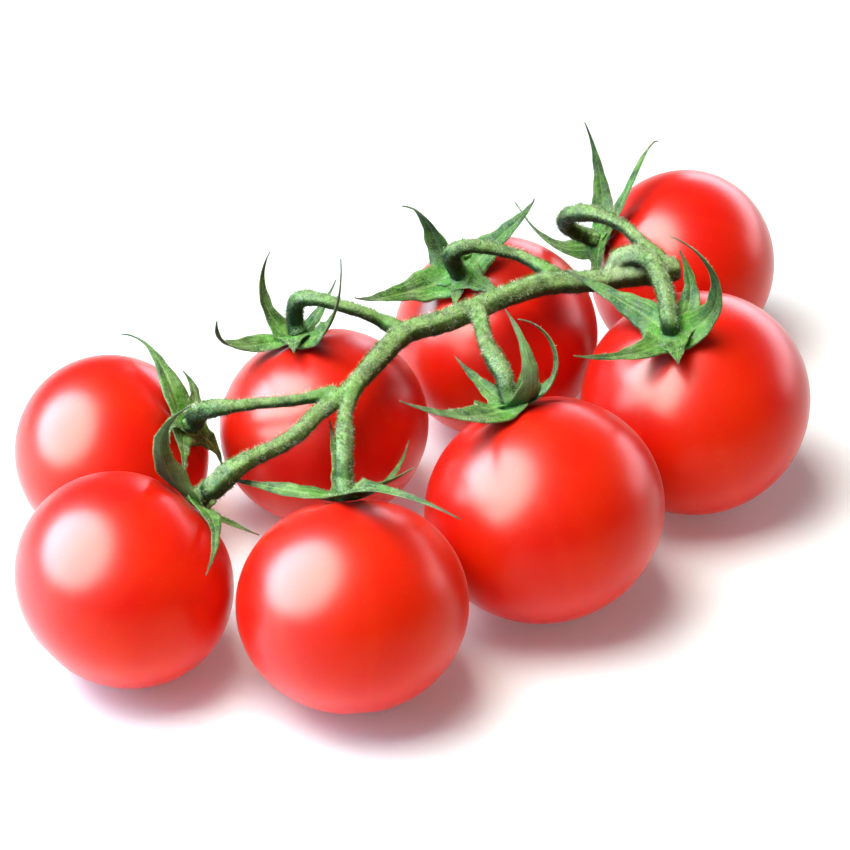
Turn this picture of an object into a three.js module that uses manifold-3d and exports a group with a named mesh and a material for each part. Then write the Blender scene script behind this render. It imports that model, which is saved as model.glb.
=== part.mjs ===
// Truss of tomatoes: eight ripe fruits lying on a table, joined by one branching green stem.
// Millimetres, Z up. The long side of the truss runs along X and every fruit touches Z = 0.

import * as THREE from 'three';
import { mergeVertices } from 'three/addons/utils/BufferGeometryUtils.js';
import Module from 'manifold-3d';

const wasm = await Module();
wasm.setup();

// Driving dimensions, fruit
const FRUIT_FLATTENING = 0.93;   // height along the fruit's own axis over its width
const SHOULDER_DIP = 1.2;        // depth of the hollow under the green star
const SHOULDER_SPREAD = 0.35;    // radians from the axis over which that hollow fades
const RESTING_FLAT_DEPTH = 0.15; // how much of the underside is flattened by its own weight
const FRUIT_SIDES = 24;
const FRUIT_BANDS = 14;

// Driving dimensions, calyx
const CALYX_LIFT = 0.8;          // middle of the calyx above the bottom of the hollow
const HUB_RADIUS = 2.5;
const HUB_BELOW = 0.4;
const HUB_ABOVE = 0.75;
const HUB_SIDES = 10;
const SEPAL_THICKNESS = 0.7;
const SEPAL_TIP_THICKNESS = 0.6;
const SEPAL_FOLD = 0.22;         // how far each half is folded up, per width
const SEPAL_ROLL_SHARE = 0.35;   // the share of its length over which a sepal rolls
const SEPAL_STEPS = 9;

// Driving dimensions, stem
const STEM_SIDES = 8;
const STEM_STEPS_PER_POINT = 2;
const STALK_GAP = 0.5;           // between a stalk's end and the hub that it meets
const LANDING = 1.6;             // last straight length of a stalk, along the fruit's axis
const STALK_NECK_RADIUS = 1.5;  // where that length starts
const STALK_END_RADIUS = 1.7;

// Colours
const RED = 0xd8200f;
const LEAF_GREEN = 0x5f9440;
const STEM_GREEN = 0x7aa356;

// Fruits: place on the table, radius, then how far and which way the stalk end leans, in degrees.
// Sepals: heading, length, width, rise at the root, added rise at the tip, added heading, roll.
const FRUITS = [
  {
    name: 'back_left', x: -53, y: 31, radius: 18, lean: 58, towards: -47,
    sepals: [
      [-200, 26.5, 4.5, 15, -80, -60, -15],
      [90, 12, 4.5, 35, -60, 70, -20],
      [25, 13, 4.5, 30, -65, -15, 20],
      [-90, 18, 3.5, 30, -15, 10, 30],
      [-130, 19, 2.5, 20, 10, 45, 55],
    ],
  },
  {
    name: 'front_left', x: -68, y: -3, radius: 19, lean: 58, towards: 6,
    sepals: [
      [155, 30.5, 4.5, 2, 38, 86, 45],
      [-112, 25, 3.5, 12, -62, -3, 35],
      [-60, 12.5, 3, 12, 10, 0, 35],
      [30, 16, 3.5, 25, 10, 0, 0],
      [115, 11, 3.5, 15, 20, 0, 0],
    ],
  },
  {
    name: 'front_middle', x: -39, y: -29, radius: 19.5, lean: 41, towards: 64,
    sepals: [
      [85, 23.5, 4, 15, 0, -40, -45],
      [0, 22, 4, 22, 50, 10, 0],
      [-187, 36, 4.5, 15, -48, 78, 30],
      [-55, 22.5, 2.5, 6, 46, 30, 0],
      [-110, 13, 4, 15, 10, 0, 0],
    ],
  },
  {
    name: 'front_right', x: 1.5, y: -25.5, radius: 21, lean: 29, towards: 96,
    sepals: [
      [117, 32, 6, 6, 32, -12, -45],
      [-141, 23.5, 4, -20, 176, 22, 22],
      [-178, 24, 4.5, 5, 130, -12, -25],
      [-10, 20.5, 4, 15, 20, 0, -10],
      [-75, 12, 4, 30, 30, 0, 0],
    ],
  },
  {
    name: 'right', x: 42.5, y: -13.5, radius: 21, lean: 20, towards: -175,
    sepals: [
      [-85, 24, 5.5, 14, 5, 14, -20],
      [20, 23, 5, 25, 10, -50, -10],
      [60, 13, 6, 20, 5, -5, 0],
      [128, 33, 5, 20, 120, 9, 45],
      [-185, 16.5, 5, 8, 60, 85, 10],
    ],
  },
  {
    name: 'back_right', x: 68, y: 25.5, radius: 19, lean: 68, towards: 151,
    sepals: [
      [-145, 25, 4.5, 15, 30, -35, 50],
      [135, 32, 4, 16, -49, 159, 15],
      [-20, 24, 4.5, 40, 130, 120, -40],
      [80, 13, 4.5, 15, -20, 0, -30],
      [-45, 14, 4.5, 24, -6, -6, 0],
    ],
  },
  {
    name: 'back_middle', x: 24.5, y: 25, radius: 19.5, lean: 26, towards: 179,
    sepals: [
      [-85, 23, 5.5, 35, 95, -80, -20],
      [188, 27, 5, 12, 44, -90, 30],
      [-30, 26, 6, 10, 50, 75, -30],
      [105, 13, 5, 10, -5, -10, 0],
      [50, 9, 4, 10, 0, 0, 0],
    ],
  },
  {
    name: 'middle', x: -17, y: 18, radius: 19, lean: 23, towards: 97,
    sepals: [
      [30, 20, 4.5, 40, 95, 20, -25],
      [65, 29, 4.5, 5, 40, 105, -40],
      [140, 13, 5, 15, -20, 5, 0],
      [-190, 33, 4.5, 0, 70, 10, 50],
      [-80, 14, 4, 20, 20, 0, 0],
    ],
  },
];

// Stem route: each point is x, y, z and the radius there.
const MAIN_STEM = [
  [48.5, 2, 38, 2.1], [45, 2.5, 38, 2.2], [41, 4, 38, 2.1], [36, 5.5, 38, 2],
  [31, 7.5, 38, 2], [25.5, 9.5, 38.5, 2], [18.5, 10, 38.5, 2], [10.5, 9.5, 38.5, 2],
  [3, 9, 38.5, 2], [-5, 9.5, 38.5, 1.95], [-12.5, 6, 38, 1.8], [-19.5, 2.5, 37, 1.6],
  [-25, 1, 36, 1.5], [-29, 0, 35.5, 1.4], [-33, -2, 35, 1.4], [-37.5, -3, 34.5, 1.4],
  [-41.5, -3.5, 34.5, 1.4], [-45, -4, 34.5, 1.6], [-48, -4, 33.5, 1.9], [-50.5, -3.2, 31, 1.9],
];

// Side stalks, by the fruit that each one carries. Each ends over the middle of its calyx.
const STALKS = {
  back_left: [
    [-23, 3, 36.5, 1.2], [-25.5, 3.5, 36.5, 1], [-31, 5, 36.5, 1], [-35.5, 7, 36.5, 1],
    [-39.5, 8.5, 36.5, 1.1], [-42.5, 10.5, 36, 1.5], [-43.5, 14, 33.5, 1.5], [-43, 18, 30, 1.5],
  ],
  front_middle: [
    [-18.5, 3, 37.5, 1.3], [-22, -0.5, 37.5, 1.2], [-26.5, -6, 38, 1.2],
    [-29.5, -11, 38.5, 1.45], [-32, -15, 37.5, 1.4],
  ],
  front_right: [
    [10, 9.5, 38.5, 1.5], [6.5, 2.5, 40, 1.25], [3.5, -3.5, 41, 1.3],
    [1.5, -9.5, 41.5, 1.65], [0.7, -13.5, 40.7, 1.5],
  ],
  right: [
    [37, 6, 38, 1.8], [39, 6.5, 40.5, 2], [41.2, 4.5, 41.8, 1.9], [41.5, 1, 42.5, 1.7],
    [39.5, -5, 42.8, 1.6], [37, -10.5, 42, 1.6],
  ],
  back_right: [
    [46, 3.5, 38.5, 1.5], [47, 6.5, 38.5, 1.3], [47.5, 12, 38.5, 1.2], [48, 17.5, 38.5, 1.2],
    [46.8, 22.5, 38.5, 1.3], [45, 26.5, 38, 1.6], [44, 30.5, 35.5, 1.5], [46, 33.5, 31, 1.5],
  ],
  back_middle: [
    [28, 10.5, 38.5, 1.4], [26.5, 12.5, 39.5, 1.2], [24, 17, 40.8, 1.1], [20, 20, 42, 1.1],
    [16.5, 22.3, 42.5, 1.3], [14, 24, 41, 1.5],
  ],
  middle: [
    [-4.5, 11, 38, 1.3], [-6.5, 13.5, 39, 1.15], [-9.5, 15.5, 41, 1.15], [-13, 17.8, 42.5, 1.15],
    [-16, 21, 43.2, 1.3], [-18, 24, 42, 1.5],
  ],
};

// Helpers

const radians = THREE.MathUtils.degToRad;

// Turns a three.js shape into a solid that can be joined to others or cut.
function solid(geometry) {
  geometry.deleteAttribute('normal');
  geometry.deleteAttribute('uv');
  const merged = mergeVertices(geometry, 1e-4);
  return new wasm.Manifold(new wasm.Mesh({
    numProp: 3,
    vertProperties: new Float32Array(merged.attributes.position.array),
    triVerts: new Uint32Array(merged.index.array),
  }));
}

function joined(solids) {
  return solids.reduce((whole, piece) => whole.add(piece));
}

function addMesh(group, name, body, material) {
  const mesh = body.getMesh();
  const geometry = new THREE.BufferGeometry();
  geometry.setAttribute('position', new THREE.BufferAttribute(mesh.vertProperties, 3));
  geometry.setIndex(new THREE.BufferAttribute(mesh.triVerts, 1));
  geometry.computeVertexNormals();
  const node = new THREE.Mesh(geometry, material);
  node.name = name;
  group.add(node);
}

// Moves every vertex of a shape to where the rule puts it.
function reshape(geometry, rule) {
  const position = geometry.attributes.position;
  const vertex = new THREE.Vector3();
  for (let i = 0; i < position.count; i += 1) {
    vertex.fromBufferAttribute(position, i);
    const moved = rule(vertex);
    position.setXYZ(i, moved.x, moved.y, moved.z);
  }
  return geometry;
}

// Where a fruit's middle, axis and calyx are, worked out from its place and lean.
function layout(fruit) {
  const lean = radians(fruit.lean);
  const towards = radians(fruit.towards);
  const axis = new THREE.Vector3(
    Math.sin(lean) * Math.cos(towards),
    Math.sin(lean) * Math.sin(towards),
    Math.cos(lean),
  );
  const across = new THREE.Vector3(
    Math.cos(lean) * Math.cos(towards),
    Math.cos(lean) * Math.sin(towards),
    -Math.sin(lean),
  );
  const sideways = new THREE.Vector3().crossVectors(axis, across);
  const halfHeight = FRUIT_FLATTENING * fruit.radius;
  const middleHeight = Math.hypot(fruit.radius * Math.sin(lean), halfHeight * Math.cos(lean));
  const middle = new THREE.Vector3(fruit.x, fruit.y, middleHeight - RESTING_FLAT_DEPTH);
  const calyx = middle.clone().addScaledVector(axis, halfHeight - SHOULDER_DIP + CALYX_LIFT);
  const place = (a, b, c, from) => from.clone()
    .addScaledVector(across, a).addScaledVector(sideways, b).addScaledVector(axis, c);
  return { axis, across, sideways, middle, calyx, place, halfHeight };
}

// Fruit: a slightly flattened ball with a hollow at the stalk end and a small flat underneath.
function fruitSolid(fruit) {
  const { middle, place, halfHeight } = layout(fruit);
  const profile = [];
  for (let i = 0; i <= FRUIT_BANDS; i += 1) {
    const angle = Math.PI * (1 - i / FRUIT_BANDS);
    const hollow = SHOULDER_DIP * Math.exp(-((angle / SHOULDER_SPREAD) ** 2));
    const reach = i === 0 || i === FRUIT_BANDS ? 0 : fruit.radius * Math.sin(angle);
    profile.push(new THREE.Vector2(reach, halfHeight * Math.cos(angle) - hollow));
  }
  const ball = reshape(
    new THREE.LatheGeometry(profile, FRUIT_SIDES),
    (v) => place(v.z, v.x, v.y, middle),
  );
  ball.computeBoundingBox();
  ball.translate(0, 0, -RESTING_FLAT_DEPTH - ball.boundingBox.min.z);
  const size = 3 * fruit.radius;
  const table = new THREE.BoxGeometry(size, size, size).translate(fruit.x, fruit.y, -size / 2);
  return solid(ball).subtract(solid(table));
}

// Width of a sepal along its length, as a share of the widest: broad near the root, then a
// long narrow tip.
function sepalWidth(along) {
  const stops = [[0, 1.15], [0.15, 1.05], [0.35, 0.8], [0.6, 0.47], [0.8, 0.25], [1, 0.12]];
  const after = stops.findIndex(([at]) => at >= along);
  if (after <= 0) {
    return stops[0][1];
  }
  const [start, low] = stops[after - 1];
  const [end, high] = stops[after];
  return THREE.MathUtils.mapLinear(along, start, end, low, high);
}

// Sepal: a folded blade whose middle line lifts and swings as it goes out from the hub.
function sepalSolid(at, [heading, length, width, rise, curl, swing, roll]) {
  const step = length / SEPAL_STEPS;
  const line = [at.calyx.clone()];
  for (let i = 0; i < SEPAL_STEPS; i += 1) {
    const along = (i + 0.5) / SEPAL_STEPS;
    const lift = i === 0 ? 0 : radians(rise + curl * along);
    const turn = radians(heading + swing * along);
    line.push(at.place(
      step * Math.cos(lift) * Math.cos(turn),
      step * Math.cos(lift) * Math.sin(turn),
      step * Math.sin(lift),
      line[i],
    ));
  }
  const blade = new THREE.BoxGeometry(1, 1, 1, 2, 1, SEPAL_STEPS);
  return solid(reshape(blade, (v) => {
    const along = v.z + 0.5;
    const i = Math.round(along * SEPAL_STEPS);
    const turn = radians(heading + swing * along);
    const tangent = line[Math.min(i + 1, SEPAL_STEPS)].clone()
      .sub(line[Math.max(i - 1, 0)]).normalize();
    const rolled = radians(roll) * Math.min(1, along / SEPAL_ROLL_SHARE);
    const side = at.place(-Math.sin(turn), Math.cos(turn), 0, new THREE.Vector3())
      .applyAxisAngle(tangent, rolled);
    const face = new THREE.Vector3().crossVectors(tangent, side).normalize();
    const half = v.x * width * sepalWidth(along);
    const thickness = THREE.MathUtils.lerp(SEPAL_THICKNESS, SEPAL_TIP_THICKNESS, along);
    return line[i].clone()
      .addScaledVector(side, half)
      .addScaledVector(face, v.y * thickness + Math.abs(half) * SEPAL_FOLD);
  }));
}

// Calyx: the green star, a small hub with its sepals grown from it.
function calyxSolid(fruit) {
  const at = layout(fruit);
  const profile = [
    new THREE.Vector2(0, -HUB_BELOW),
    new THREE.Vector2(HUB_RADIUS * 0.8, -HUB_BELOW),
    new THREE.Vector2(HUB_RADIUS, 0),
    new THREE.Vector2(HUB_RADIUS * 0.85, HUB_ABOVE * 0.8),
    new THREE.Vector2(HUB_RADIUS * 0.5, HUB_ABOVE),
    new THREE.Vector2(0, HUB_ABOVE),
  ];
  const hub = reshape(
    new THREE.LatheGeometry(profile, HUB_SIDES),
    (v) => at.place(v.z, v.x, v.y, at.calyx),
  );
  return joined([solid(hub), ...fruit.sepals.map((sepal) => sepalSolid(at, sepal))]);
}

// Stalk: a round rod along a smooth curve through its points, closed at both ends.
function stalkSolid(points) {
  const curve = new THREE.CatmullRomCurve3(
    points.map(([x, y, z]) => new THREE.Vector3(x, y, z)),
    false,
    'centripetal',
  );
  const steps = (points.length - 1) * STEM_STEPS_PER_POINT;
  const rings = [];
  const normal = new THREE.Vector3(0, 0, 1);
  for (let i = 0; i <= steps; i += 1) {
    const tangent = curve.getTangent(i / steps);
    normal.addScaledVector(tangent, -normal.dot(tangent)).normalize();
    const place = i / STEM_STEPS_PER_POINT;
    const before = Math.min(Math.floor(place), points.length - 2);
    rings.push({
      middle: curve.getPoint(i / steps),
      normal: normal.clone(),
      binormal: new THREE.Vector3().crossVectors(tangent, normal),
      radius: THREE.MathUtils.lerp(points[before][3], points[before + 1][3], place - before),
    });
  }
  const rod = new THREE.CylinderGeometry(1, 1, 1, STEM_SIDES, steps);
  return solid(reshape(rod, (v) => {
    const ring = rings[Math.round((v.y + 0.5) * steps)];
    return ring.middle.clone()
      .addScaledVector(ring.normal, v.z * ring.radius)
      .addScaledVector(ring.binormal, v.x * ring.radius);
  }));
}

// The last two points of a stalk, straight down onto the middle of its calyx.
function landing(fruit) {
  const { axis, calyx } = layout(fruit);
  const end = calyx.clone().addScaledVector(axis, HUB_ABOVE + STALK_GAP);
  const above = end.clone().addScaledVector(axis, LANDING);
  return [[...above, STALK_NECK_RADIUS], [...end, STALK_END_RADIUS]];
}

// Build

const skin = new THREE.MeshStandardMaterial({ color: RED, roughness: 0.25, metalness: 0 });
const leaf = new THREE.MeshStandardMaterial({ color: LEAF_GREEN, roughness: 0.65, metalness: 0 });
const bark = new THREE.MeshStandardMaterial({ color: STEM_GREEN, roughness: 0.7, metalness: 0 });
skin.name = 'tomato_skin';
leaf.name = 'sepal_green';
bark.name = 'stem_green';

const truss = new THREE.Group();
truss.name = 'tomato_truss';

const stalks = FRUITS.map((fruit) => {
  const route = fruit.name === 'front_left' ? MAIN_STEM : STALKS[fruit.name];
  return stalkSolid([...route, ...landing(fruit)]);
});
addMesh(truss, 'stem', joined(stalks), bark);

for (const fruit of FRUITS) {
  addMesh(truss, `fruit_${fruit.name}`, fruitSolid(fruit), skin);
  addMesh(truss, `calyx_${fruit.name}`, calyxSolid(fruit), leaf);
}

export default truss;
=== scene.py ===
# %% [markdown]
# A truss of tomatoes: eight ripe fruits on one branching stem, lying on a white table.
#
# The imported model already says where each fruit, star of sepals and stalk is. This lesson puts
# a fine surface over each of those solids, in the same place, and gives it a finish. It starts
# by loading that frame and keeping its box, because nothing drawn later may outgrow it.

# %% Load the frame
import math

import bpy
import numpy as np
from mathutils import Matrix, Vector


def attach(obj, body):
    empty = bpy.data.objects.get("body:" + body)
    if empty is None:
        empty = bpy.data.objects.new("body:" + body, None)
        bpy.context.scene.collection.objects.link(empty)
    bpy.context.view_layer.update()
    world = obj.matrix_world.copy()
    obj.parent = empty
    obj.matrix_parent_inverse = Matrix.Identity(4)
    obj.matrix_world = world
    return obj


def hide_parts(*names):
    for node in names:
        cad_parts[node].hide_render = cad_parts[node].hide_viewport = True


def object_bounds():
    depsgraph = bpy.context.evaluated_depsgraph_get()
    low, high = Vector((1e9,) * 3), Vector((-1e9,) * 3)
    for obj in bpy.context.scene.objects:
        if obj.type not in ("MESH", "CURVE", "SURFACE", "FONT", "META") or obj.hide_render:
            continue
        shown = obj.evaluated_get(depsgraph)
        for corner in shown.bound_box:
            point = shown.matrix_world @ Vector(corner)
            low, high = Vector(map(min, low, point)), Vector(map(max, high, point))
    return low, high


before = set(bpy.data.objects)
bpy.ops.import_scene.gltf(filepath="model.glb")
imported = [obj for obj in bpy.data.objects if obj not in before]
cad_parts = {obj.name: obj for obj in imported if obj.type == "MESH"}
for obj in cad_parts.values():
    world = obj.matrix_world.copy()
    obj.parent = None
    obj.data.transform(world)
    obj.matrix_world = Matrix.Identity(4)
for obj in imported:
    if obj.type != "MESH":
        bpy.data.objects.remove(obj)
cad_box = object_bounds()
MM = 0.001
random = np.random.default_rng(20)
print("frame:", len(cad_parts), "nodes, box in mm", np.round(np.array(cad_box) / MM, 1).tolist())

# %% [markdown]
# The camera looks down on the truss from the front left. Its distance was worked out from how
# much smaller the far fruits look than the near ones, so a long lens and a tripod half a metre
# away give the same picture. It comes first, since everything after is judged through it.

# %% Camera
LOOK_AT = np.array([-3.0, 6.0, 20.0])
CAMERA_AZIMUTH = math.radians(-32)
CAMERA_HEIGHT = math.radians(36)
CAMERA_DISTANCE = 520.0
LENS = 123.0


def add_camera():
    """A camera on a sphere round the point it looks at, by azimuth and height above the table."""
    away = np.array([
        math.cos(CAMERA_HEIGHT) * math.sin(CAMERA_AZIMUTH),
        -math.cos(CAMERA_HEIGHT) * math.cos(CAMERA_AZIMUTH),
        math.sin(CAMERA_HEIGHT),
    ])
    data = bpy.data.cameras.new("camera")
    data.lens = LENS
    data.sensor_width = 36
    data.clip_start = 0.01
    camera = bpy.data.objects.new("camera", data)
    camera.location = (LOOK_AT + CAMERA_DISTANCE * away) * MM
    camera.rotation_euler = Vector(away.tolist()).to_track_quat("Z", "Y").to_euler()
    bpy.context.scene.collection.objects.link(camera)
    bpy.context.scene.camera = camera
    return camera


print("camera at", [round(v, 3) for v in add_camera().location])

# %% [markdown]
# A finish is a tree of shader nodes. Wiring it by hand takes a line for every link, so one
# small class wraps a socket and lets Python's own signs add the Math nodes, and one method
# makes any other node. A finish then reads like a sum.


# %% Shader helpers
NOISE_ROUGHNESS = 0.55


class Value:
    """One number that varies over a surface. Arithmetic on it adds Math nodes."""

    def __init__(self, finish, socket):
        self.finish = finish
        self.socket = socket

    def math(self, operation, first, second):
        """The operation on two numbers, of which either may be a plain one."""
        node = self.finish.node("ShaderNodeMath", {"operation": operation}, {0: first, 1: second})
        return Value(self.finish, node.outputs[0])

    def __add__(self, other):
        return self.math("ADD", self, other)

    __radd__ = __add__

    def __mul__(self, other):
        return self.math("MULTIPLY", self, other)

    __rmul__ = __mul__

    def __sub__(self, other):
        return self.math("SUBTRACT", self, other)

    def __rsub__(self, other):
        return self.math("SUBTRACT", other, self)


class Finish:
    """A material under construction, with a way to add any node."""

    def __init__(self, name):
        self.material = bpy.data.materials.new(name)
        self.material.use_nodes = True
        self.tree = self.material.node_tree
        self.tree.nodes.clear()
        self.place = self.node("ShaderNodeTexCoord").outputs["Object"]

    def node(self, kind, settings=None, sockets=None):
        """A node of that kind: its settings are set first, then its sockets are fed."""
        made = self.tree.nodes.new(kind)
        for key, value in (settings or {}).items():
            setattr(made, key, value)
        for key, value in (sockets or {}).items():
            target = made.inputs[key]
            if isinstance(value, Value):
                value = value.socket
            if isinstance(value, bpy.types.NodeSocket):
                self.tree.links.new(value, target)
            elif isinstance(value, tuple) and len(value) == 3 and target.type == "RGBA":
                target.default_value = (*value, 1.0)
            else:
                target.default_value = value
        return made

    def noise(self, size, detail=3.0, place=None):
        """Cloudy noise from 0 to 1 with features about size millimetres across."""
        node = self.node("ShaderNodeTexNoise", None, {
            "Vector": place or self.place, "Scale": 1 / (size * MM),
            "Detail": detail, "Roughness": NOISE_ROUGHNESS,
        })
        return Value(self, node.outputs[0])

    def cells(self, size):
        """Distance to the nearest of many scattered points, about size millimetres apart."""
        node = self.node("ShaderNodeTexVoronoi", None, {
            "Vector": self.place, "Scale": 1 / (size * MM),
        })
        return Value(self, node.outputs["Distance"])

    def attribute(self, name):
        """A number that the mesh carries at each point."""
        node = self.node("ShaderNodeAttribute", {"attribute_name": name})
        return Value(self, node.outputs["Fac"])

    def ease(self, value, low, high):
        """0 where value is below low, 1 above high, and a smooth step between."""
        node = self.node("ShaderNodeMapRange", {"interpolation_type": "SMOOTHSTEP"}, {
            "Value": value, "From Min": low, "From Max": high,
        })
        return Value(self, node.outputs[0])

    def mix(self, share, first, second):
        """The first colour, giving way to the second as share goes from 0 to 1."""
        node = self.node("ShaderNodeMix", {"data_type": "RGBA"}, {0: share, 6: first, 7: second})
        return node.outputs[2]

    def surface(self, colour, roughness, height, relief, fixed):
        """The shader itself: height is a bump relief millimetres high, fixed are its constants."""
        bump = self.node("ShaderNodeBump", None, {
            "Height": height, "Distance": relief * MM, "Strength": 1.0,
        })
        shader = self.node("ShaderNodeBsdfPrincipled", None, {
            "Base Color": colour, "Roughness": roughness, "Normal": bump.outputs[0], **fixed,
        })
        self.node("ShaderNodeOutputMaterial", None, {"Surface": shader.outputs[0]})
        return self.material


print("shader helpers ready")

# %% [markdown]
# Every piece here is the same kind of surface: rings of points, one after another along a line,
# closed at both ends. A fruit is rings round its axis that shrink to a point, a stalk is rings
# along its route, and a sepal is a stalk squashed flat. So one helper skins any list of rings,
# and another puts the skinned shells into one mesh.


# %% Surface helpers
def skin(rings, start, end):
    """Closed shell over rings (rows, columns, xyz), with a fan from the first ring to start and
    one from the last to end. Its signed volume, a sixth of the sum of a dot (b cross c) over
    triangles, says whether it is inside out, and then every face is turned round.
    """
    rows, columns = rings.shape[:2]
    points = np.vstack([rings.reshape(-1, 3), start, end])
    row, column = np.meshgrid(np.arange(rows - 1), np.arange(columns), indexing="ij")
    beside = (column + 1) % columns
    here, across = row * columns + column, row * columns + beside
    quads = np.stack([here, across, across + columns, here + columns], -1).reshape(-1, 4)
    around = np.arange(columns)
    ahead = (around + 1) % columns
    last = (rows - 1) * columns
    first_fan = np.stack([ahead, around, np.full(columns, rows * columns)], -1)
    last_fan = np.stack([last + around, last + ahead, np.full(columns, rows * columns + 1)], -1)
    fans = np.vstack([first_fan, last_fan])
    triangles = np.vstack([quads[:, [0, 1, 2]], quads[:, [0, 2, 3]], fans])
    a, b, c = (points[triangles[:, i]] for i in range(3))
    if (a * np.cross(b, c)).sum() < 0:
        quads, fans = quads[:, ::-1], fans[:, ::-1]
    return points, quads, fans


def put_together(shells):
    """One list of points and faces from several shells, each one's numbers moved up in turn."""
    points, faces, used = [], [], 0
    for shell_points, *groups in shells:
        points.append(shell_points)
        for group in groups:
            faces.extend((group + used).tolist())
        used += len(shell_points)
    return np.vstack(points), faces


def add_piece(name, points, faces, material, nodes=(), numbers=None):
    """A smooth mesh from points in millimetres, which rides on the body and stands for nodes."""
    mesh = bpy.data.meshes.new(name)
    mesh.from_pydata((points * MM).tolist(), [], faces)
    for key, values in (numbers or {}).items():
        mesh.attributes.new(key, "FLOAT", "POINT").data.foreach_set(
            "value", np.asarray(values, np.float32),
        )
    mesh.polygons.foreach_set("use_smooth", np.ones(len(mesh.polygons), bool))
    mesh.materials.append(material)
    mesh.update()
    piece = bpy.data.objects.new(name, mesh)
    bpy.context.scene.collection.objects.link(piece)
    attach(piece, "root")
    if nodes:
        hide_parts(*nodes)
    return piece


def mark_underside(piece, start, width):
    """A number per point, 0 where the surface faces up and 1 where it faces down: a smooth step
    that begins where the upright part of its normal is start and is complete width lower. The
    finishes paint shade by it where it is high and light where it is low."""
    count = len(piece.data.vertices)
    normals = np.empty(count * 3, np.float32)
    piece.data.vertices.foreach_get("normal", normals)
    down = ((start - normals.reshape(-1, 3)[:, 2]) / width).clip(0, 1)
    under = (down**2 * (3 - 2 * down)).astype(np.float32)
    piece.data.attributes.new("under", "FLOAT", "POINT").data.foreach_set("value", under)


def unit(vectors):
    """Each vector over its own length."""
    return vectors / np.linalg.norm(vectors, axis=-1, keepdims=True)


print("surface helpers ready")

# %% [markdown]
# The layout is the one that the solids were built from: where each fruit lies, how far and
# which way its stalk end leans, and how each of its five sepals leaves the middle of the star.
# No two sepals are alike, so each has its own line, as it would be noted beside a real truss.

# %% Layout of fruits and sepals
FRUIT_FLATTENING = 0.93
SHOULDER_DIP = 1.2
SHOULDER_SPREAD = 0.35
RESTING_FLAT_DEPTH = 0.15
CALYX_LIFT = 0.8
SEPAL_FIELDS = ("heading", "length", "width", "rise", "curl", "swing", "roll")
FRUITS = {
    "back_left": ((-53, 31, 18, 58, -47), [
        (-200, 26.5, 4.5, 15, -80, -60, -15), (90, 12, 4.5, 35, -60, 70, -20),
        (25, 13, 4.5, 30, -65, -15, 20), (-90, 18, 3.5, 30, -15, 10, 30),
        (-130, 19, 2.5, 20, 10, 45, 55)]),
    "front_left": ((-68, -3, 19, 58, 6), [
        (155, 30.5, 4.5, 2, 38, 86, 45), (-112, 25, 3.5, 12, -62, -3, 35),
        (-60, 12.5, 3, 12, 10, 0, 35), (30, 16, 3.5, 25, 10, 0, 0),
        (115, 11, 3.5, 15, 20, 0, 0)]),
    "front_middle": ((-39, -29, 19.5, 41, 64), [
        (85, 23.5, 4, 15, 0, -40, -45), (0, 22, 4, 22, 50, 10, 0),
        (-187, 36, 4.5, 15, -48, 78, 30), (-55, 22.5, 2.5, 6, 46, 30, 0),
        (-110, 13, 4, 15, 10, 0, 0)]),
    "front_right": ((1.5, -25.5, 21, 29, 96), [
        (117, 32, 6, 6, 32, -12, -45), (-141, 23.5, 4, -20, 176, 22, 22),
        (-178, 24, 4.5, 5, 130, -12, -25), (-10, 20.5, 4, 15, 20, 0, -10),
        (-75, 12, 4, 30, 30, 0, 0)]),
    "right": ((42.5, -13.5, 21, 20, -175), [
        (-85, 24, 5.5, 14, 5, 14, -20), (20, 23, 5, 25, 10, -50, -10),
        (60, 13, 6, 20, 5, -5, 0), (128, 33, 5, 20, 120, 9, 45),
        (-185, 16.5, 5, 8, 60, 85, 10)]),
    "back_right": ((68, 25.5, 19, 68, 151), [
        (-145, 25, 4.5, 15, 30, -35, 50), (135, 32, 4, 16, -49, 159, 15),
        (-20, 24, 4.5, 40, 130, 120, -40), (80, 13, 4.5, 15, -20, 0, -30),
        (-45, 14, 4.5, 24, -6, -6, 0)]),
    "back_middle": ((24.5, 25, 19.5, 26, 179), [
        (-85, 23, 5.5, 35, 95, -80, -20), (188, 27, 5, 12, 44, -90, 30),
        (-30, 26, 6, 10, 50, 75, -30), (105, 13, 5, 10, -5, -10, 0),
        (50, 9, 4, 10, 0, 0, 0)]),
    "middle": ((-17, 18, 19, 23, 97), [
        (30, 20, 4.5, 40, 95, 20, -25), (65, 29, 4.5, 5, 40, 105, -40),
        (140, 13, 5, 15, -20, 5, 0), (-190, 33, 4.5, 0, 70, 10, 50),
        (-80, 14, 4, 20, 20, 0, 0)]),
}


class Seat:
    """A fruit's middle, its three axes and the middle of its calyx.

    The axis leans by an angle towards a heading. The middle is as high as the flattened ball
    reaches below it, the root of (radius times sine)^2 + (half height times cosine)^2.
    """

    def __init__(self, name):
        (x, y, self.radius, lean, towards), sepals = FRUITS[name]
        self.sepals = [dict(zip(SEPAL_FIELDS, sepal)) for sepal in sepals]
        lean, towards = math.radians(lean), math.radians(towards)
        self.axis = np.array([
            math.sin(lean) * math.cos(towards), math.sin(lean) * math.sin(towards), math.cos(lean),
        ])
        self.across = np.array([
            math.cos(lean) * math.cos(towards), math.cos(lean) * math.sin(towards), -math.sin(lean),
        ])
        self.sideways = np.cross(self.axis, self.across)
        self.half = FRUIT_FLATTENING * self.radius
        height = math.hypot(self.radius * math.sin(lean), self.half * math.cos(lean))
        self.middle = np.array([x, y, height - RESTING_FLAT_DEPTH])
        self.calyx = self.middle + self.axis * (self.half - SHOULDER_DIP + CALYX_LIFT)

    def turned(self, a, b, c):
        """a across, b sideways and c along the axis, as a vector of the table's own axes."""
        a, b, c = np.broadcast_arrays(a, b, c)
        return a[..., None] * self.across + b[..., None] * self.sideways + c[..., None] * self.axis


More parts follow.
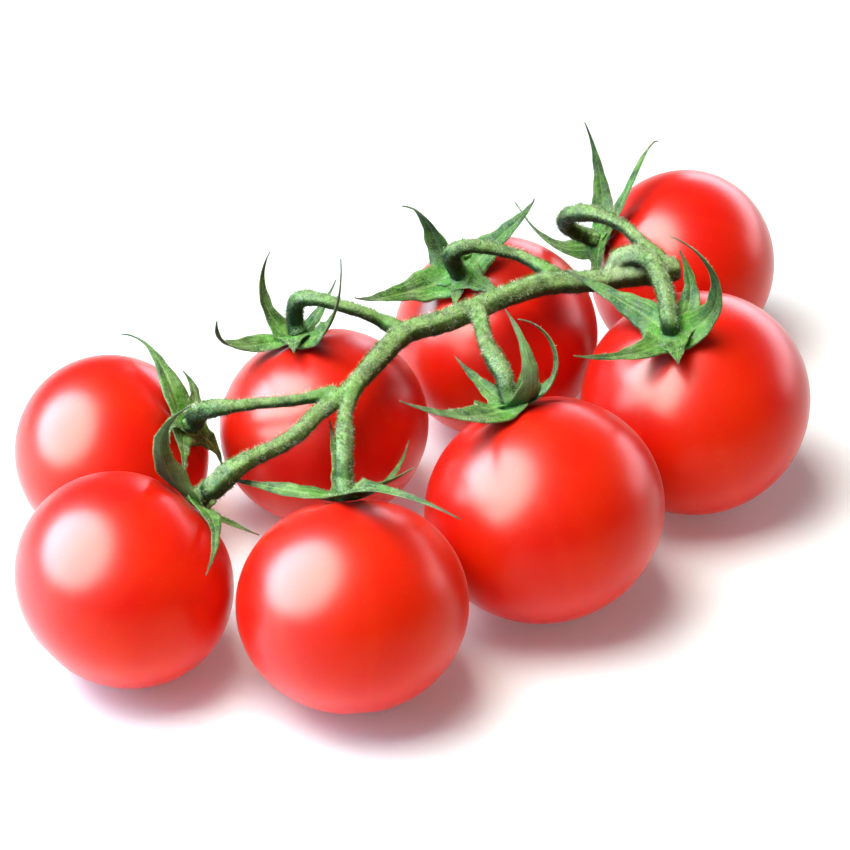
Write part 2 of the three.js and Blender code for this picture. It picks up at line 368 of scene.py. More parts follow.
SEATS = {name: Seat(name) for name in FRUITS}
print("layout:", len(SEATS), "fruits,", sum(len(s.sepals) for s in SEATS.values()), "sepals")

# %% [markdown]
# A ripe tomato's skin is thin, waxy and see-through, over flesh that carries light sideways.
# Red paint with a gloss would look like plastic: the shaded side would go brown. Subsurface
# scattering, far longer for red than for green or blue, keeps the shade a deep clean crimson.
# The colour drifts from scarlet to orange-red, with paler pin-pricks, faint streaks that run
# from pole to pole, a deeper red round the hollow, and a small corky scar where the flower was.
# The gloss is tinted warm, so that weak light from all round adds no grey to the red.


# %% Tomato skin
def tomato_skin():
    """Scarlet and orange-red by slow noise, pale dots where a cell's middle is near, deeper red
    where the polar angle is small, and a tan scar where it nears pi."""
    f = Finish("tomato_skin")
    polar = f.attribute("polar")
    drift = f.ease(f.noise(22, 2.0), 0.3, 0.75)
    colour = f.mix(drift, (0.68, 0.005, 0.0015), (0.75, 0.018, 0.0008))
    streak = f.ease(f.attribute("streak"), 0.45, 0.9)
    colour = f.mix(streak * 0.18, colour, (0.78, 0.032, 0.001))
    dots = 1 - f.ease(f.cells(1.5), 0.04, 0.16)
    colour = f.mix(dots * 0.14, colour, (0.85, 0.14, 0.03))
    shoulder = 1 - f.ease(polar, 0.12, 0.42)
    colour = f.mix(shoulder * 0.45, colour, (0.50, 0.006, 0.002))
    scar = f.ease(polar, math.pi - 0.075, math.pi - 0.045)
    colour = f.mix(scar * 0.85, colour, (0.30, 0.16, 0.06))
    roughness = 0.285 + f.noise(6) * 0.07 + scar * 0.3
    height = f.noise(0.9, 2.0) * 0.5 + f.noise(0.25, 1.0) * 0.2 - dots * 0.3
    return f.surface(colour, roughness, height, 0.010, {
        "Subsurface Weight": 0.5, "Subsurface Radius": (1.0, 0.07, 0.05),
        "Subsurface Scale": 0.007, "IOR": 1.45, "Specular IOR Level": 0.36,
        "Specular Tint": (1.0, 0.40, 0.24, 1.0),
        "Sheen Weight": 0.16, "Sheen Roughness": 0.20, "Sheen Tint": (1.0, 0.85, 0.78, 1.0),
    })


TOMATO_SKIN = tomato_skin()
print("finish:", TOMATO_SKIN.name)

# %% [markdown]
# A fruit could be a sphere with a few vertices pulled, but then its hollow, its shoulders and
# the flat it rests on would be guesses. Here it is a profile turned round the axis, from the
# same formula as the solid, so the two lie on each other. What the solid leaves out is added
# to the same formula: shallow furrows that run into the hollow, a hardly visible unevenness,
# and a dimple at the flower end.

# %% Fruits
FRUIT_ROWS = 84
FRUIT_COLUMNS = 112
FURROWS = 7
FURROW_DEPTH = 0.28
DIMPLE_DEPTH = 0.35
WAVE_MARGIN = 0.006


def fruit_surface(seat, seed):
    """Rings by polar angle t and turn p. Reach is radius times sin t. Height is half the height
    times cos t, less the hollow, a bell curve of t. Both are scaled by 1 + small cosines of p,
    less a margin that keeps the fruit within the solid, and nothing goes below the table."""
    dice = np.random.default_rng(seed)
    t = np.linspace(0, np.pi, FRUIT_ROWS)[1:-1, None]
    p = np.linspace(0, 2 * np.pi, FRUIT_COLUMNS, endpoint=False)[None, :]
    phase = dice.uniform(0, 2 * np.pi, 4)
    waviness = 0.0035 * np.cos(2 * p + phase[0]) + 0.0025 * np.cos(3 * p + phase[1])
    uneven = 1 + (waviness - WAVE_MARGIN) * np.sin(t)
    furrow = FURROW_DEPTH * np.exp(-((t / 0.5) ** 2)) * (1 - np.exp(-((t / 0.12) ** 2)))
    furrow = furrow * np.cos(FURROWS * p + phase[2]) * (0.6 + 0.4 * np.cos(2 * p + phase[3]))
    hollow = SHOULDER_DIP * np.exp(-((t / SHOULDER_SPREAD) ** 2))
    dimple = DIMPLE_DEPTH * np.exp(-(((np.pi - t) / 0.12) ** 2))
    reach = seat.radius * np.sin(t) * uneven
    height = seat.half * np.cos(t) * uneven - hollow + furrow + dimple
    rings = seat.middle + seat.turned(reach * np.cos(p), reach * np.sin(p), height)
    top = seat.middle + seat.axis * (seat.half - SHOULDER_DIP)
    bottom = seat.middle - seat.axis * (seat.half - DIMPLE_DEPTH)
    rings[..., 2] = np.maximum(rings[..., 2], 0.0)
    polar = np.append(np.broadcast_to(t, rings.shape[:2]).ravel(), [0, np.pi])
    waves = sum(np.cos(k * p + dice.uniform(0, 6)) / 4 for k in (9, 14, 23, 31))
    streak = np.append((0.5 + 0.5 * waves * np.sin(t)).ravel(), [0.5, 0.5])
    return skin(rings, top, bottom), {"polar": polar, "streak": streak}


for seed, (name, seat) in enumerate(SEATS.items()):
    shell, numbers = fruit_surface(seat, seed)
    points, faces = put_together([shell])
    add_piece(f"tomato_{name}", points, faces, TOMATO_SKIN, [f"fruit_{name}"], numbers)
print("fruits:", len(SEATS), "with", len(faces), "faces each")

# %% [markdown]
# The stem's green is a mottle, not one colour: pale grainy skin with dark pits, a fresh bright
# green in the forks, darker knuckles, one pale stalk root, and a dry brown cut end. Shade is
# painted on too: the side that faces down is painted nearly black as shade, and the side that
# faces up a little paler as light. The mesh carries how near each point is to those places and
# how far it faces down, and the finish mixes by those numbers.


# %% Stem finish
def stem_green():
    """Green by two scales of noise and dark pits, brighter near forks, darker near knuckles, brown
    at the cut, with painted light on the side that faces up and painted shade underneath."""
    f = Finish("stem_green")
    mottle = f.ease(f.noise(2.2, 2.5), 0.32, 0.66)
    grain = f.ease(f.noise(0.35, 3.0), 0.44, 0.62)
    colour = f.mix(mottle, (0.040, 0.120, 0.009), (0.160, 0.350, 0.048))
    colour = f.mix(grain * 0.30, colour, (0.66, 0.78, 0.46))
    colour = f.mix(f.attribute("pale") * 0.9, colour, (0.74, 0.80, 0.62))
    colour = f.mix(f.attribute("fork") * 0.7, colour, (0.12, 0.42, 0.03))
    colour = f.mix(f.attribute("knuckle") * 0.6, colour, (0.022, 0.075, 0.010))
    colour = f.mix(f.attribute("cut"), colour, (0.30, 0.24, 0.12))
    pits = 1 - f.ease(f.cells(0.8), 0.08, 0.30)
    colour = f.mix(pits * 0.18, colour, (0.012, 0.050, 0.003))
    # Painted light and shade by the under number: paler where the stem faces up, nearly black where
    # it faces down.
    under = f.attribute("under")
    painted_top_light = f.ease(1 - under, 0.55, 1.0)
    colour = f.mix(painted_top_light * 0.15, colour, (0.66, 0.78, 0.48))
    colour = f.mix(under * 0.92, colour, (0.004, 0.018, 0.002))
    roughness = 0.5 + f.noise(1.2) * 0.25
    height = f.noise(0.6, 4.0) + f.noise(2.2, 2.0) * 0.8 - pits * 0.3
    return f.surface(colour, roughness, height, 0.14, {
        "Subsurface Weight": 0.15, "Subsurface Radius": (0.5, 1.0, 0.25), "Subsurface Scale": 0.0012,
        "Specular IOR Level": 0.10, "Specular Tint": (1.0, 0.60, 0.48, 1.0),
        "Sheen Weight": 0.05, "Sheen Roughness": 0.4, "Sheen Tint": (0.95, 0.98, 0.75, 1.0),
    })


STEM_GREEN = stem_green()
print("finish:", STEM_GREEN.name)

# %% [markdown]
# The stem grew as one piece, so it has no seams where stalks leave it. Each stalk is first a
# tube along its own route, five-sided in section as tomato stems are, thicker at its knuckle
# with a fine groove where it would snap. Then Blender's voxel remesh melts the tubes into one
# skin, and a few rounds of smoothing turn the sharp creases at the forks into fillets.

# %% Stem routes
MAIN_STEM = [
    (48.5, 2, 38, 2.1), (45, 2.5, 38, 2.2), (41, 4, 38, 2.1), (36, 5.5, 38, 2),
    (31, 7.5, 38, 2), (25.5, 9.5, 38.5, 2), (18.5, 10, 38.5, 2), (10.5, 9.5, 38.5, 2),
    (3, 9, 38.5, 2), (-5, 9.5, 38.5, 1.95), (-12.5, 6, 38, 1.8), (-19.5, 2.5, 37, 1.6),
    (-25, 1, 36, 1.5), (-29, 0, 35.5, 1.4), (-33, -2, 35, 1.4), (-37.5, -3, 34.5, 1.4),
    (-41.5, -3.5, 34.5, 1.4), (-45, -4, 34.5, 1.6), (-48, -4, 33.5, 1.9), (-50.5, -3.2, 31, 1.9),
]
STALKS = {
    "front_left": MAIN_STEM,
    "back_left": [
        (-23, 3, 36.5, 1.2), (-25.5, 3.5, 36.5, 1), (-31, 5, 36.5, 1), (-35.5, 7, 36.5, 1),
        (-39.5, 8.5, 36.5, 1.1), (-42.5, 10.5, 36, 1.5), (-43.5, 14, 33.5, 1.5), (-43, 18, 30, 1.5)],
    "front_middle": [
        (-18.5, 3, 37.5, 1.3), (-22, -0.5, 37.5, 1.2), (-26.5, -6, 38, 1.2),
        (-29.5, -11, 38.5, 1.45), (-32, -15, 37.5, 1.4)],
    "front_right": [
        (10, 9.5, 38.5, 1.5), (6.5, 2.5, 40, 1.25), (3.5, -3.5, 41, 1.3),
        (1.5, -9.5, 41.5, 1.65), (0.7, -13.5, 40.7, 1.5)],
    "right": [
        (37, 6, 38, 1.8), (39, 6.5, 40.5, 2), (41.2, 4.5, 41.8, 1.9), (41.5, 1, 42.5, 1.7),
        (39.5, -5, 42.8, 1.6), (37, -10.5, 42, 1.6)],
    "back_right": [
        (46, 3.5, 38.5, 1.5), (47, 6.5, 38.5, 1.3), (47.5, 12, 38.5, 1.2), (48, 17.5, 38.5, 1.2),
        (46.8, 22.5, 38.5, 1.3), (45, 26.5, 38, 1.6), (44, 30.5, 35.5, 1.5), (46, 33.5, 31, 1.5)],
    "back_middle": [
        (28, 10.5, 38.5, 1.4), (26.5, 12.5, 39.5, 1.2), (24, 17, 40.8, 1.1), (20, 20, 42, 1.1),
        (16.5, 22.3, 42.5, 1.3), (14, 24, 41, 1.5)],
    "middle": [
        (-4.5, 11, 38, 1.3), (-6.5, 13.5, 39, 1.15), (-9.5, 15.5, 41, 1.15),
        (-13, 17.8, 42.5, 1.15), (-16, 21, 43.2, 1.3), (-18, 24, 42, 1.5)],
}
KNUCKLE_POINT = {
    "front_left": 18, "back_left": 5, "front_middle": 3, "front_right": 3,
    "right": 4, "back_right": 5, "back_middle": 5, "middle": 5,
}
HUB_ABOVE = 0.75
LANDING = 2.1
STALK_NECK_RADIUS = 1.5
STALK_END_RADIUS = 1.7


def whole_route(name):
    """The stalk's points, and two more that bring it straight down onto its calyx."""
    seat = SEATS[name]
    end = seat.calyx + seat.axis * HUB_ABOVE
    above = end + seat.axis * LANDING
    return np.array([*STALKS[name], (*above, STALK_NECK_RADIUS), (*end, STALK_END_RADIUS)])


def smooth_route(route, steps):
    """A centripetal Catmull-Rom curve: between two points it is the cubic whose end slopes come
    from the neighbours, weighed by the square root of the distances. Radius is read off the
    straight line between points."""
    p = np.vstack([2 * route[0] - route[1], route, 2 * route[-1] - route[-2]])[:, :3]
    d = np.sqrt(np.linalg.norm(np.diff(p, axis=0), axis=1))[:, None]
    before, gap, after = d[:-2], d[1:-1], d[2:]
    a, b, c, e = p[:-3], p[1:-2], p[2:-1], p[3:]
    slope_in = ((b - a) / before - (c - a) / (before + gap) + (c - b) / gap) * gap
    slope_out = ((c - b) / gap - (e - b) / (gap + after) + (e - c) / after) * gap
    s = np.linspace(0, 1, steps, endpoint=False)[None, :, None]
    cubic = (
        (2 * s**3 - 3 * s**2 + 1) * b[:, None] + (s**3 - 2 * s**2 + s) * slope_in[:, None]
        + (3 * s**2 - 2 * s**3) * c[:, None] + (s**3 - s**2) * slope_out[:, None]
    )
    line = np.vstack([cubic.reshape(-1, 3), route[-1, :3]])
    spot = np.linspace(0, len(route) - 1, len(line))
    return line, np.interp(spot, np.arange(len(route)), route[:, 3])


print("stem routes:", {name: len(whole_route(name)) for name in STALKS})

# %% [markdown]
# Here the tubes are made and melted. The voxels are about a quarter of a millimetre, small enough
# to keep the groove at each knuckle. Sweeping one tube and joining the rest on by hand would need
# a seam at each fork, and a seam shows in raking light.

# %% Stem
ROUTE_STEPS = 12
STEM_COLUMNS = 30
STEM_VOXEL = 0.26
PALE_ROOT = np.array([38.5, 6.5, 40.5])
CUT_END = np.array([49.1, 2.0, 38.0])
ROOT_SWELL = {"front_left": 0, "right": -0.05}
USUAL_ROOT_SWELL = 0.22
FILLET_ROUNDS = 6


def stalk_shell(name, seed):
    """Rings round the route. The radius is the route's, times 1 + a five-lobed cosine that
    twists slowly, plus slow bumps along the stalk, plus a swelling at its root and a collar at
    its knuckle, less a fine groove there, all three bell curves of the distance along it."""
    dice = np.random.default_rng(seed)
    route = whole_route(name)
    line, radius = smooth_route(route, ROUTE_STEPS)
    tangent = unit(np.gradient(line, axis=0))
    normal = np.zeros_like(line)
    last = np.array([0.0, 0.0, 1.0])
    for i, along in enumerate(tangent):
        last = unit(last - along * last.dot(along))
        normal[i] = last
    binormal = np.cross(tangent, normal)
    run = np.append(0, np.cumsum(np.linalg.norm(np.diff(line, axis=0), axis=1)))[:, None]
    knuckle = run[KNUCKLE_POINT[name] * ROUTE_STEPS]
    turn = np.linspace(0, 2 * np.pi, STEM_COLUMNS, endpoint=False)[None, :]
    phase = dice.uniform(0, 6, 5)
    lobes = 0.05 * np.cos(5 * turn + 0.12 * run + phase[0])
    lobes = lobes + 0.03 * np.cos(2 * turn + 0.3 * run + phase[1])
    bumps = 0.03 * np.sin(1.7 * run + phase[2]) + 0.025 * np.sin(2.9 * run + turn + phase[3])
    root = ROOT_SWELL.get(name, USUAL_ROOT_SWELL) * np.exp(-(((run - 2.5) / 1.8) ** 2))
    collar = 0.10 * np.exp(-(((run - knuckle) / 1.3) ** 2))
    groove = 0.16 * np.exp(-(((run - knuckle) / 0.3) ** 2))
    reach = radius[:, None] * (1 + lobes + bumps + root + collar - groove)
    rings = (
        line[:, None] + reach[..., None] * np.cos(turn)[..., None] * normal[:, None]
        + reach[..., None] * np.sin(turn)[..., None] * binormal[:, None]
    )
    return skin(rings, line[0], line[-1]), line[KNUCKLE_POINT[name] * ROUTE_STEPS]


def melted(points, faces):
    """The shells voxel-remeshed into one skin and smoothed: each point moves towards the mean
    of its neighbours, a few times over."""
    mesh = bpy.data.meshes.new("stem_shells")
    mesh.from_pydata((points * MM).tolist(), [], faces)
    shells = bpy.data.objects.new("stem_shells", mesh)
    bpy.context.scene.collection.objects.link(shells)
    remesh = shells.modifiers.new("melt", "REMESH")
    remesh.mode = "VOXEL"
    remesh.voxel_size = STEM_VOXEL * MM
    smooth = shells.modifiers.new("fillet", "SMOOTH")
    smooth.factor = 0.5
    smooth.iterations = FILLET_ROUNDS
    result = bpy.data.meshes.new_from_object(
        shells.evaluated_get(bpy.context.evaluated_depsgraph_get())
    )
    bpy.data.objects.remove(shells)
    bpy.data.meshes.remove(mesh)
    return result


def mesh_arrays(mesh):
    """The mesh's points in millimetres and its triangles, as whole arrays."""
    points = np.empty(len(mesh.vertices) * 3, np.float32)
    mesh.vertices.foreach_get("co", points)
    mesh.calc_loop_triangles()
    triangles = np.empty(len(mesh.loop_triangles) * 3, np.int32)
    mesh.loop_triangles.foreach_get("vertices", triangles)
    return points.reshape(-1, 3) / MM, triangles.reshape(-1, 3)


def nearness(points, spots, spread):
    """1 at the nearest spot, falling as a bell curve of the distance over spread."""
    gap = np.min([np.linalg.norm(points - spot, axis=1) for spot in spots], axis=0)
    return np.exp(-((gap / spread) ** 2))


made = [stalk_shell(name, 40 + i) for i, name in enumerate(STALKS)]
stem_mesh = melted(*put_together([shell for shell, _ in made]))
stem_points, stem_triangles = mesh_arrays(stem_mesh)
forks = [np.array(route[1][:3]) for name, route in STALKS.items() if name != "front_left"]
stem = add_piece("stem", stem_points, stem_triangles.tolist(), STEM_GREEN, ["stem"], {
    "fork": nearness(stem_points, forks, 2.6),
    "knuckle": nearness(stem_points, [knuckle for _, knuckle in made], 1.3),
    "pale": nearness(stem_points, [PALE_ROOT], 3.2),
    "cut": nearness(stem_points, [CUT_END], 1.9),
})
mark_underside(stem, 0.82, 1.0)
print("stem:", len(stem_triangles), "triangles")

# %% [markdown]
# A sepal is a small leaf: folded a little along its rib, wavy at the edge, broad where it
# joins its neighbours and drawn out to a dry whisker. Its green is fresher at the root, paler
# along the rib, the edge and the back, and the last stretch has withered. Shade is painted on
# the side that faces down, and light in pale patches on the side that faces up. The mesh carries
# how far along and how far across each point is, and how far it faces down, so the finish can
# follow the blade.


# %% Sepal finish
def sepal_green():
    """Green by noise with dark bruises, fresher towards the root, paler on the rib, the edge and
    the back, with veins by a noise drawn out along the blade, greyish brown at the tip, painted
    light in patches on the side facing up and painted shade on the side facing down."""
    f = Finish("sepal_green")
    along, across = f.attribute("along"), f.attribute("across")
    mottle = f.ease(f.noise(2.6, 2.5), 0.33, 0.68)
    colour = f.mix(mottle, (0.013, 0.054, 0.004), (0.135, 0.335, 0.038))
    root = 1 - f.ease(along, 0.05, 0.38)
    colour = f.mix(root * 0.7, colour, (0.120, 0.480, 0.022))
    bruise = f.ease(f.noise(1.8, 2.0), 0.52, 0.72)
    colour = f.mix(bruise * 0.45, colour, (0.012, 0.050, 0.004))
    rib = 1 - f.ease(across, 0.03, 0.16)
    lane = f.node("ShaderNodeCombineXYZ", None, {
        "X": f.attribute("side") * 0.006, "Y": along * 0.004,
    })
    veins = f.ease(f.noise(1.1, 3.0, place=lane.outputs[0]), 0.48, 0.66)
    colour = f.mix((1 - veins) * 0.28, colour, (0.016, 0.065, 0.005))
    colour = f.mix(rib * 0.35, colour, (0.30, 0.50, 0.12))
    colour = f.mix(veins * 0.28, colour, (0.36, 0.58, 0.14))
    grain = f.ease(f.noise(0.4, 3.0), 0.45, 0.72)
    colour = f.mix(grain * 0.22, colour, (0.60, 0.72, 0.42))
    colour = f.mix(f.attribute("outer") * 0.38, colour, (0.33, 0.47, 0.22))
    edge = f.ease(across, 0.8, 1.0)
    colour = f.mix(edge * 0.35, colour, (0.44, 0.56, 0.25))
    dry = f.ease(along + f.noise(2.0) * 0.15, 0.82, 1.0)
    colour = f.mix(dry * 0.7, colour, (0.12, 0.12, 0.07))
    # Painted light in patches where the sepal faces up, painted shade where it faces down.
    under = f.attribute("under")
    painted_top_light = f.ease(1 - under, 0.5, 1.0) * f.ease(f.noise(3.0, 2.0), 0.42, 0.62)
    colour = f.mix(painted_top_light * 0.12, colour, (0.62, 0.76, 0.42))
    colour = f.mix(under * 0.8, colour, (0.008, 0.034, 0.003))
    height = f.noise(0.5, 4.0) + veins * 0.6 - rib * 0.5
    return f.surface(colour, 0.48 + f.noise(1.0) * 0.22, height, 0.13, {
        "Subsurface Weight": 0.25, "Subsurface Radius": (0.6, 1.0, 0.2), "Subsurface Scale": 0.0008,
        "Specular IOR Level": 0.10, "Specular Tint": (1.0, 0.60, 0.48, 1.0),
        "Sheen Weight": 0.04, "Sheen Roughness": 0.4, "Sheen Tint": (0.95, 0.98, 0.75, 1.0),
    })


SEPAL_GREEN = sepal_green()
print("finish:", SEPAL_GREEN.name)

# %% [markdown]
# The sepal's middle line is walked step by step, lifting and swinging as it goes, as in the
# solid but a trifle shorter, so that its tip stays in the solid's box. Round each point of it
# lies a flat ring: out along the upper face and back along the lower one. A flat card bent in
# an editor would lose the thickness.

# %% Calyxes
SEPAL_ROWS = 40
SEPAL_COLUMNS = 11
SEPAL_TRIM = 0.985
SEPAL_FLAT_SHARE = 1 / 9
SEPAL_ROLL_SHARE = 0.35
SEPAL_FOLD = 0.22
SEPAL_MIDDLE_THICKNESS = 0.5
SEPAL_EDGE_THICKNESS = 0.16
WIDTH_STOPS = (
    (0, 1.3), (0.08, 1.56), (0.19, 1.28), (0.36, 0.84),
    (0.6, 0.47), (0.8, 0.24), (0.93, 0.10), (1, 0.05),
)
HUB_RADIUS = 2.5
HUB_BELOW = 0.4
HUB_COLUMNS = 25


def sepal_surface(seat, sepal, dice):
    """Middle line: each short step goes out at angle rise + curl * s and heading + swing * s.
    Half width: the widest, times a share read from stops, times 1 + a ragged wave. A point at
    u across lies at u * half width sideways, and up by the fold, |u| * half width * 0.22, plus
    a wave that grows with u squared, plus or minus half the thickness."""
    s = np.linspace(0, 1, SEPAL_ROWS)
    mid = (s[:-1] + s[1:]) / 2
    lift = np.radians(sepal["rise"] + sepal["curl"] * mid) * (mid > SEPAL_FLAT_SHARE)
    turn = np.radians(sepal["heading"] + sepal["swing"] * mid)
    step = SEPAL_TRIM * sepal["length"] / (SEPAL_ROWS - 1)
    steps = step * seat.turned(np.cos(lift) * np.cos(turn), np.cos(lift) * np.sin(turn), np.sin(lift))
    line = seat.calyx + np.vstack([np.zeros(3), np.cumsum(steps, axis=0)])
    tangent = unit(np.gradient(line, axis=0))
    turn = np.radians(sepal["heading"] + sepal["swing"] * s)
    flat_side = seat.turned(-np.sin(turn), np.cos(turn), 0.0)
    roll = np.radians(sepal["roll"]) * np.minimum(1, s / SEPAL_ROLL_SHARE)
    up = np.cross(tangent, flat_side)
    side = unit(flat_side * np.cos(roll)[:, None] + up * np.sin(roll)[:, None])
    face = unit(np.cross(tangent, side))
    share = np.interp(s, *np.array(WIDTH_STOPS).T)
    phase = dice.uniform(0, 6, 6)
    u = np.linspace(-1, 1, SEPAL_COLUMNS)
    u = np.append(u, u[-2:0:-1])[None, :]
    upper = np.append(np.ones(SEPAL_COLUMNS), -np.ones(SEPAL_COLUMNS - 2))[None, :]
    rim = np.abs(u) > 0.999
    ragged = 1 + 0.07 * np.sin(21 * s + phase[0]) + 0.05 * np.sin(37 * s + phase[1])
    half = (0.5 * sepal["width"] * share * ragged)[:, None]
    wave = 0.32 * np.sin(9 * s[:, None] + phase[2] + 1.3 * np.sign(u))
    wave = wave * np.sin(np.pi * s[:, None]) ** 0.5 * share[:, None] * u**2
    thick = SEPAL_EDGE_THICKNESS + (SEPAL_MIDDLE_THICKNESS - SEPAL_EDGE_THICKNESS) * (1 - u**2)
    thick = thick * (0.45 + 0.55 * share[:, None].clip(0, 1)) * np.where(rim, 0, 1)
    crease = -0.16 * np.exp(-((u / 0.16) ** 2)) * (1 - s[:, None])
    over = np.abs(u) * half * SEPAL_FOLD + wave + crease + upper * thick / 2
    rings = line[:, None] + (u * half)[..., None] * side[:, None] + over[..., None] * face[:, None]
    grid = (SEPAL_ROWS, u.shape[1])
    along = np.append(np.broadcast_to(s[:, None], grid).ravel(), [0, 1])
    across = np.append(np.broadcast_to(np.abs(u), grid).ravel(), [0, 0])
    side_share = np.append(np.broadcast_to(u, grid).ravel(), [0, 0])
    side_share = side_share + dice.uniform(5, 90)
    outer = np.append(np.broadcast_to(upper < 0, grid).ravel(), [0, 0])
    numbers = {"along": along, "across": across, "side": side_share, "outer": outer}
    return skin(rings, line[0], line[-1]), numbers


def hub_surface(seat):
    """A small turned disc, rounded at its rim, that the stalk stands on."""
    profile = np.array([
        (0.7, -HUB_BELOW), (0.92, -0.25), (1.0, 0.05), (0.94, 0.4), (0.8, 0.66), (0.5, HUB_ABOVE),
    ])
    turn = np.linspace(0, 2 * np.pi, HUB_COLUMNS, endpoint=False)
    reach = profile[:, :1] * HUB_RADIUS * (1 + 0.06 * np.cos(5 * turn))
    rings = seat.calyx + seat.turned(reach * np.cos(turn), reach * np.sin(turn), profile[:, 1:])
    ends = [seat.calyx + seat.axis * height for height in (-HUB_BELOW, HUB_ABOVE)]
    count = rings.shape[0] * rings.shape[1] + 2
    return skin(rings, *ends), {
        "along": np.zeros(count), "across": np.full(count, 0.4), "side": np.zeros(count),
        "outer": np.zeros(count),
    }


def add_calyx(name, seed):
    """Five sepals and their hub in one mesh. Returns its points, triangles and edge weights."""
    seat = SEATS[name]
    dice = np.random.default_rng(seed)
    parts = [hub_surface(seat)] + [sepal_surface(seat, sepal, dice) for sepal in seat.sepals]
    points, faces = put_together([shell for shell, _ in parts])
    numbers = {key: np.concatenate([n[key] for _, n in parts]) for key in parts[0][1]}
    piece = add_piece(
        f"sepals_{name}", points, faces, SEPAL_GREEN, [f"calyx_{name}"], numbers,
    )
    mark_underside(piece, 0.30, 0.8)
    points, triangles = mesh_arrays(piece.data)
    return points, triangles, numbers["across"][triangles].mean(axis=1)


calyxes = {name: add_calyx(name, 60 + i) for i, name in enumerate(SEATS)}
print("calyxes:", {name: len(parts[1]) for name, parts in calyxes.items()})

# %% [markdown]
# Tomato stems and sepals are covered in fine down that catches the light as a pale halo. A
# hair system would be easiest, but it vanishes when the model is exported. So each hair is a
# real sliver with three sides and a base, thousands of them built at once: a spot picked on the
# skin by area, three points round it, and a tip.


# %% Down
STEM_HAIRS = 34000
CALYX_HAIRS = 2600
STEM_HAIR_LENGTHS = (0.25, 0.85)
CALYX_HAIR_LENGTHS = (0.15, 0.5)
HAIR_THICKNESSES = (0.022, 0.042)
HAIR_ROOT_DEPTH = 0.03
HAIR_SCATTER = 0.45
HAIR_UPRIGHTNESS = 0.6


def down_finish():
    """Slightly see-through hair, pale or green by noise, and dark green as painted shade underneath.
    """
    f = Finish("down")
    colour = f.mix(f.ease(f.noise(1.5), 0.45, 0.65), (0.08, 0.20, 0.03), (0.92, 0.96, 0.74))
    # Painted shade: dark green on hairs whose root faces down.
    colour = f.mix(f.attribute("under") * 0.95, colour, (0.02, 0.06, 0.01))
    return f.surface(colour, 0.45 + f.noise(2) * 0.1, f.noise(0.3), 0.004, {
        "Subsurface Weight": 0.1, "Subsurface Scale": 0.0003, "Specular IOR Level": 0.0,
    })


def hairs(points, triangles, count, lengths, weights=None):
    """Spots picked with a chance proportional to area times weight, at random mixes of the three
    corners. A hair leans off the face's normal by a random vector and tapers from a three-sided
    root to its tip, which is kept inside the box of the solids."""
    a, b, c = (points[triangles[:, i]] for i in range(3))
    across = np.cross(b - a, c - a)
    area = np.linalg.norm(across, axis=1)
    chance = area * (0.4 + 0.6 * (across[:, 2] > -0.2 * area))
    chance = chance if weights is None else chance * weights
    picked = random.choice(len(triangles), count, p=chance / chance.sum())
    share = np.sort(random.uniform(0, 1, (count, 2)), axis=1)
    mixes = np.stack([share[:, 0], share[:, 1] - share[:, 0], 1 - share[:, 1]], -1)
    corners = points[triangles[picked]]
    root = (corners * mixes[..., None]).sum(axis=1)
    normal = across[picked] / area[picked, None]
    lean = unit(normal + HAIR_SCATTER * random.normal(0, 1, (count, 3)))
    lean = unit(lean + HAIR_UPRIGHTNESS * normal)
    side = unit(np.cross(lean, [0.31, 0.52, 0.79]))
    other = np.cross(lean, side)
    length = random.uniform(*lengths, (count, 1))
    thick = random.uniform(*HAIR_THICKNESSES, (count, 1))
    ring = [
        root - normal * HAIR_ROOT_DEPTH + thick * (math.cos(turn) * side + math.sin(turn) * other)
        for turn in (0, 2 * math.pi / 3, 4 * math.pi / 3)
    ]
    tip = (root + lean * length).clip(*np.array(cad_box) / MM)
    verts = np.stack([*ring, tip], 1).reshape(-1, 3)
    first = 4 * np.arange(count)[:, None]
    faces = np.concatenate([first + f for f in ([[0, 1, 3]], [[1, 2, 3]], [[2, 0, 3]], [[0, 2, 1]])])
    # The under number marks hairs on downward faces, for their painted shade.
    down = ((0.5 - normal[:, 2]) / 0.7).clip(0, 1)
    return verts, faces.tolist(), {"under": np.repeat(down, 4)}


DOWN = down_finish()
verts, faces, numbers = hairs(stem_points, stem_triangles, STEM_HAIRS, STEM_HAIR_LENGTHS)
add_piece("down_stem", verts, faces, DOWN, (), numbers)
for name, (points, triangles, across) in calyxes.items():
    weights = 0.4 + 3 * across**3
    verts, faces, numbers = hairs(points, triangles, CALYX_HAIRS, CALYX_HAIR_LENGTHS, weights)
    add_piece(f"down_{name}", verts, faces, DOWN, (), numbers)
print("down:", STEM_HAIRS + CALYX_HAIRS * len(calyxes), "hairs")

# %% [markdown]
# The studio is a white table, a lamp called glow above it, which lights the truss and casts its
# soft shadows, and a little light from all round. A lamp's glare on a waxy fruit is far brighter
# than the fruit itself, so glow is kept out of reflections and the others are seen only there:
# glare, a round one at the upper left, and two low sheets that draw the pale rims on both sides.
# The skin's gloss is tinted warm, so glare is a cool blue, and the two together come out white.

# %% Studio
TARGET = Vector((0.0, 0.0, 0.02))
GLOW_DIRECTION = Vector((-0.35, 0.12, 0.93))
GLARE_DIRECTION = Vector((-0.704, 0.251, 0.654))
LEFT_DIRECTION = Vector((-0.95, -0.15, 0.10))
RIGHT_DIRECTION = Vector((0.92, 0.26, 0.06))
GLOW_COLOUR = (1, 0.98, 0.88)
GLARE_COLOUR = (0.33, 1.03, 1.50)
LEFT_COLOUR = (1, 0.92, 0.75)
RIGHT_COLOUR = (1, 1.02, 1.2)
ROOM_COLOUR = (0.96, 0.96, 1, 1)
ROOM_STRENGTH = 0.14
TABLE_GLOW = 0.09


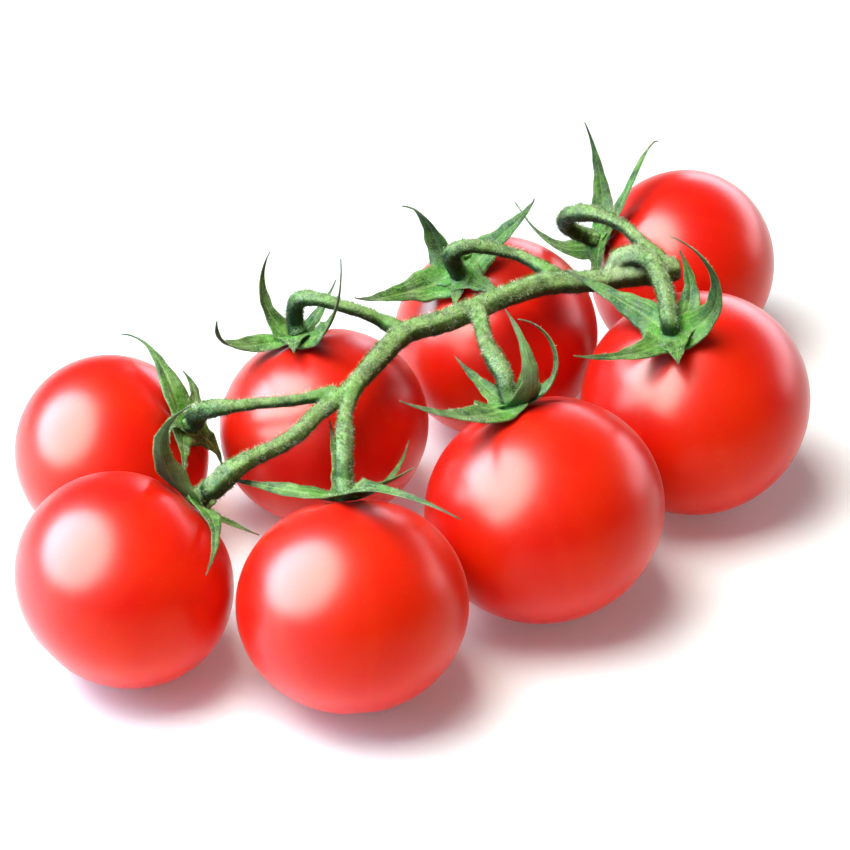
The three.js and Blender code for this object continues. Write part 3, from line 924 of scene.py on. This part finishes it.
def add_lamp(name, direction, distance, width, height, power, shape="RECTANGLE", colour=(1, 1, 1)):
    """A sheet of light at that distance along the direction, facing the truss."""
    data = bpy.data.lights.new(name, "AREA")
    data.shape = shape
    data.size, data.size_y = width, height
    data.energy = power
    data.color = colour
    lamp = bpy.data.objects.new(name, data)
    lamp.location = TARGET + direction.normalized() * distance
    lamp.rotation_euler = direction.to_track_quat("Z", "Y").to_euler()
    bpy.context.scene.collection.objects.link(lamp)
    return lamp


def table_finish():
    """Matt white card, a shade uneven, with a faint glow that keeps its far parts white."""
    f = Finish("white_table")
    colour = f.mix(f.noise(60, 2.0), (0.90, 0.90, 0.90), (0.92, 0.92, 0.92))
    return f.surface(colour, 0.65 + f.noise(30) * 0.05, f.noise(1.5), 0.003, {
        "Emission Color": (1.0, 1.0, 1.0, 1.0), "Emission Strength": TABLE_GLOW,
    })


def add_table(size=6.0):
    """One flat square under the truss."""
    half = size / 2
    mesh = bpy.data.meshes.new("table")
    corners = [(-half, -half, 0), (half, -half, 0), (half, half, 0), (-half, half, 0)]
    mesh.from_pydata(corners, [], [(0, 1, 2, 3)])
    mesh.materials.append(table_finish())
    table = bpy.data.objects.new("table", mesh)
    bpy.context.scene.collection.objects.link(table)
    return table


glow = add_lamp("glow", GLOW_DIRECTION, 0.60, 0.46, 0.46, 7.2, colour=GLOW_COLOUR)
glow.visible_glossy = False
glare = add_lamp("glare", GLARE_DIRECTION, 0.55, 0.78, 0.78, 88.0, "ELLIPSE", GLARE_COLOUR)
glare.visible_diffuse = False
left_sheet = add_lamp("left_sheet", LEFT_DIRECTION, 1.0, 1.6, 0.9, 0.4, colour=LEFT_COLOUR)
left_sheet.visible_diffuse = False
right_sheet = add_lamp("right_sheet", RIGHT_DIRECTION, 1.0, 1.5, 0.6, 19.0, colour=RIGHT_COLOUR)
right_sheet.visible_diffuse = False
table = add_table()
world = bpy.data.worlds.new("room")
world.use_nodes = True
background = world.node_tree.nodes["Background"]
background.inputs["Color"].default_value = ROOM_COLOUR
background.inputs["Strength"].default_value = ROOM_STRENGTH
bpy.context.scene.world = world
bpy.context.scene.view_settings.view_transform = "Standard"
bpy.context.scene.view_settings.look = "None"
print("studio: table,", [lamp.name for lamp in (glow, glare, left_sheet, right_sheet)])
